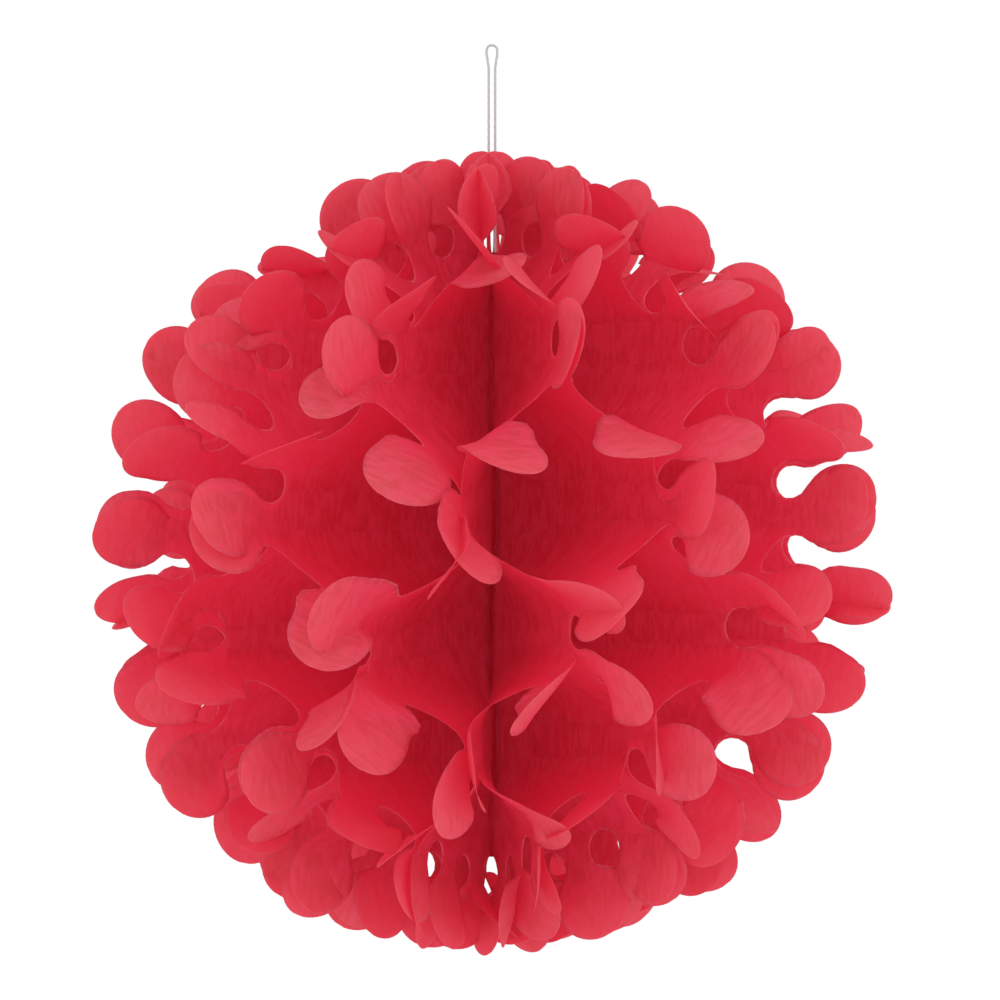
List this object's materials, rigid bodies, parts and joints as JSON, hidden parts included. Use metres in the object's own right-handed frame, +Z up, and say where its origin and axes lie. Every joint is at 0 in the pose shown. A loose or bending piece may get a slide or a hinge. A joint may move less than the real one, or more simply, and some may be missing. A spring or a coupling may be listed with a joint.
{
  "type": "tissue paper puff ball",
  "caption": "Round hanging ball of red tissue half-discs glued in diamond cells, with petal-cut edges and a white thread loop.",
  "frame": {"origin": "top of the hanging loop, where a hook or a ceiling thread holds it; the ball's centre is 254 mm below", "axes": "+Z up along the spine and the hanging thread, -Y towards the ball's front, +X to its right seen from the front"},
  "size_m": [0.3968, 0.3964, 0.4523],
  "materials": {
    "tissue": "matt, thin and translucent",
    "spine": "matt, soaked with dried glue",
    "thread": "matt twisted white thread"
  },
  "bodies": {
    "root": {"tissue_sheet_01": "tissue", "tissue_sheet_02": "tissue", "tissue_sheet_03": "tissue", "tissue_sheet_04": "tissue", "tissue_sheet_05": "tissue", "tissue_sheet_06": "tissue", "tissue_sheet_07": "tissue", "tissue_sheet_08": "tissue", "tissue_sheet_09": "tissue", "tissue_sheet_10": "tissue", "tissue_sheet_11": "tissue", "tissue_sheet_12": "tissue", "tissue_sheet_13": "tissue", "tissue_sheet_14": "tissue", "tissue_sheet_15": "tissue", "tissue_sheet_16": "tissue", "tissue_sheet_17": "tissue", "tissue_sheet_18": "tissue", "tissue_sheet_19": "tissue", "tissue_sheet_20": "tissue", "spine_binding": "spine", "hanging_string": "thread"}
  },
  "joints": []
}
